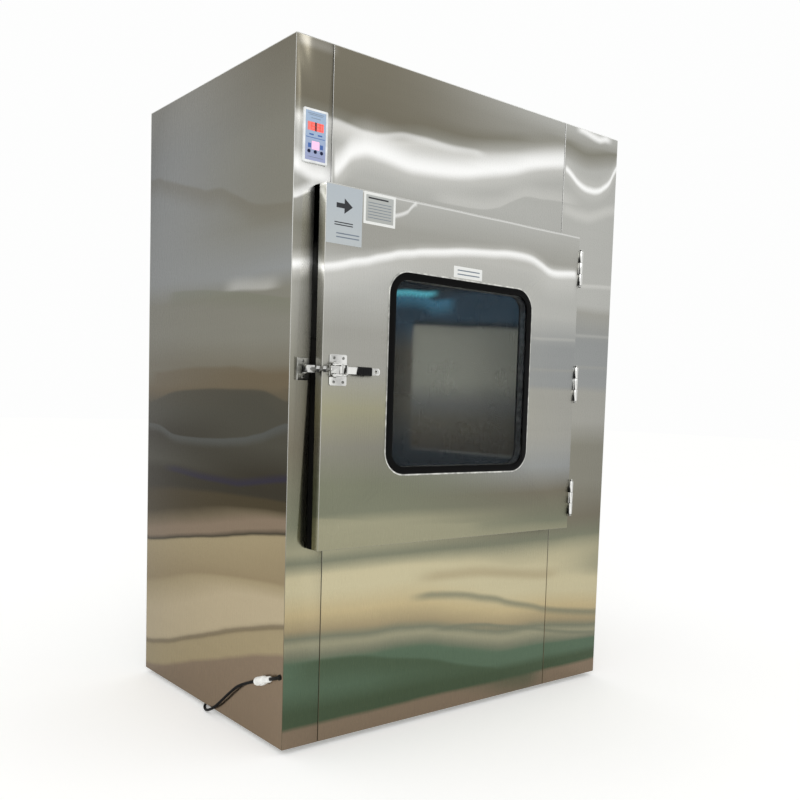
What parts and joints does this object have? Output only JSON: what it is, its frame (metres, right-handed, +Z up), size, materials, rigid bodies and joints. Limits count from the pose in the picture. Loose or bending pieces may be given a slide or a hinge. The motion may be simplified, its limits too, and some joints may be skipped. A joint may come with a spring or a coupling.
{
  "type": "cleanroom pass box",
  "caption": "Free-standing stainless cleanroom pass box: a through chamber with a glazed, sealed, latched door at each end, a controller and a filter with its blower above.",
  "frame": {"origin": "on the floor under the middle of the casing", "axes": "+X to the right seen from the front, +Y to the back, +Z up; the front door faces -Y"},
  "size_m": [1.267, 1.0816, 1.8151],
  "materials": {
    "casing_steel": "bright brushed stainless sheet",
    "chamber_steel": "bright brushed stainless sheet",
    "door_steel": "bright brushed stainless sheet",
    "frame_steel": "plain stainless tube and sheet",
    "feet_steel": "plated",
    "bright_steel": "polished stainless",
    "motor_paint": "satin black",
    "filter_media": "pleated glass-fibre paper",
    "window_glass": "clear float glass",
    "lamp_glass": "quartz tube",
    "lamp_holder_plastic": "white moulding",
    "seal_rubber": "matt black rubber",
    "spacer_aluminium": "dark anodised",
    "grip_plastic": "black moulding",
    "bezel_plastic": "white frame with a pale membrane",
    "housing_plastic": "black moulding",
    "key_plastic": "dark blue-grey keys",
    "coupler_plastic": "white moulding",
    "lead_rubber": "black cable sheath"
  },
  "bodies": {
    "cabinet": {"side_panel_left": "casing_steel", "side_panel_right": "casing_steel", "top_cover": "casing_steel", "base_pan": "casing_steel", "left_strips": "casing_steel", "right_strips": "casing_steel", "upper_panels": "casing_steel", "lower_panels": "casing_steel", "frame_posts": "frame_steel", "frame_rails": "frame_steel", "levelling_feet": "feet_steel", "chamber_left_wall": "chamber_steel", "chamber_right_wall": "chamber_steel", "chamber_floor": "chamber_steel", "chamber_ceiling": "chamber_steel", "uv_lamp": "lamp_glass", "lamp_holders": "lamp_holder_plastic", "final_filter": "filter_media", "plenum": "frame_steel", "blower_housing": "frame_steel", "blower_motor": "motor_paint", "hinge_cabinet_leaves": "bright_steel", "latch_keepers": "bright_steel", "interlock_magnets": "motor_paint", "controller_bezel": "bezel_plastic", "controller_housing": "housing_plastic", "mains_elbow": "housing_plastic", "mains_coupler": "coupler_plastic", "mains_lead": "lead_rubber", "mains_coil": "lead_rubber", "mains_plug": "lead_rubber"},
    "blower_rotor": {"blower_wheel": "frame_steel"},
    "key_left": {"key_1": "key_plastic"},
    "key_middle": {"key_2": "key_plastic"},
    "key_right": {"key_3": "key_plastic"},
    "front_door": {"front_door_shell": "door_steel", "front_door_liner": "door_steel", "front_window_panes": "window_glass", "front_window_gaskets": "seal_rubber", "front_pane_spacer": "spacer_aluminium", "front_door_seal": "seal_rubber", "front_hinge_door_leaves": "bright_steel", "front_latch_base": "bright_steel", "front_interlock_plate": "bright_steel"},
    "front_lever": {"front_latch_lever": "bright_steel", "front_latch_grip": "grip_plastic"},
    "front_link": {"front_latch_link": "bright_steel"},
    "rear_door": {"rear_door_shell": "door_steel", "rear_door_liner": "door_steel", "rear_window_panes": "window_glass", "rear_window_gaskets": "seal_rubber", "rear_pane_spacer": "spacer_aluminium", "rear_door_seal": "seal_rubber", "rear_hinge_door_leaves": "bright_steel", "rear_latch_base": "bright_steel", "rear_interlock_plate": "bright_steel"},
    "rear_lever": {"rear_latch_lever": "bright_steel", "rear_latch_grip": "grip_plastic"},
    "rear_link": {"rear_latch_link": "bright_steel"}
  },
  "joints": [
    {"name": "front_door_swing", "type": "hinge", "parent": "cabinet", "child": "front_door", "pos_m": [0.396, -0.496, 0.998], "axis": [0, 0, 1], "range_deg": [0, 120]},
    {"name": "front_lever_swing", "type": "hinge", "parent": "front_door", "child": "front_lever", "pos_m": [-0.532, -0.51, 0.998], "axis": [0, 0, 1], "range_deg": [-100, 0]},
    {"name": "front_link_swing", "type": "hinge", "parent": "front_lever", "child": "front_link", "pos_m": [-0.518, -0.519, 0.998], "axis": [0, 0, 1], "range_deg": [0, 100]},
    {"name": "rear_door_swing", "type": "hinge", "parent": "cabinet", "child": "rear_door", "pos_m": [0.396, 0.496, 0.998], "axis": [0, 0, 1], "range_deg": [-120, 0]},
    {"name": "rear_lever_swing", "type": "hinge", "parent": "rear_door", "child": "rear_lever", "pos_m": [-0.532, 0.51, 0.998], "axis": [0, 0, 1], "range_deg": [0, 100]},
    {"name": "rear_link_swing", "type": "hinge", "parent": "rear_lever", "child": "rear_link", "pos_m": [-0.518, 0.519, 0.998], "axis": [0, 0, 1], "range_deg": [-100, 0]},
    {"name": "blower_spin", "type": "hinge", "parent": "cabinet", "child": "blower_rotor", "pos_m": [-0.086, 0, 1.6695], "axis": [0, 1, 0], "continuous": true},
    {"name": "key_left_press", "type": "slide", "parent": "cabinet", "child": "key_left", "axis": [0, 1, 0], "range_m": [0, 0.001], "stiffness_N_per_m": 600},
    {"name": "key_middle_press", "type": "slide", "parent": "cabinet", "child": "key_middle", "axis": [0, 1, 0], "range_m": [0, 0.001], "stiffness_N_per_m": 600},
    {"name": "key_right_press", "type": "slide", "parent": "cabinet", "child": "key_right", "axis": [0, 1, 0], "range_m": [0, 0.001], "stiffness_N_per_m": 600}
  ],
  "couplings": [
    {"joint": "front_link_swing", "follows": "front_lever_swing", "ratio": -1},
    {"joint": "rear_link_swing", "follows": "rear_lever_swing", "ratio": -1}
  ]
}
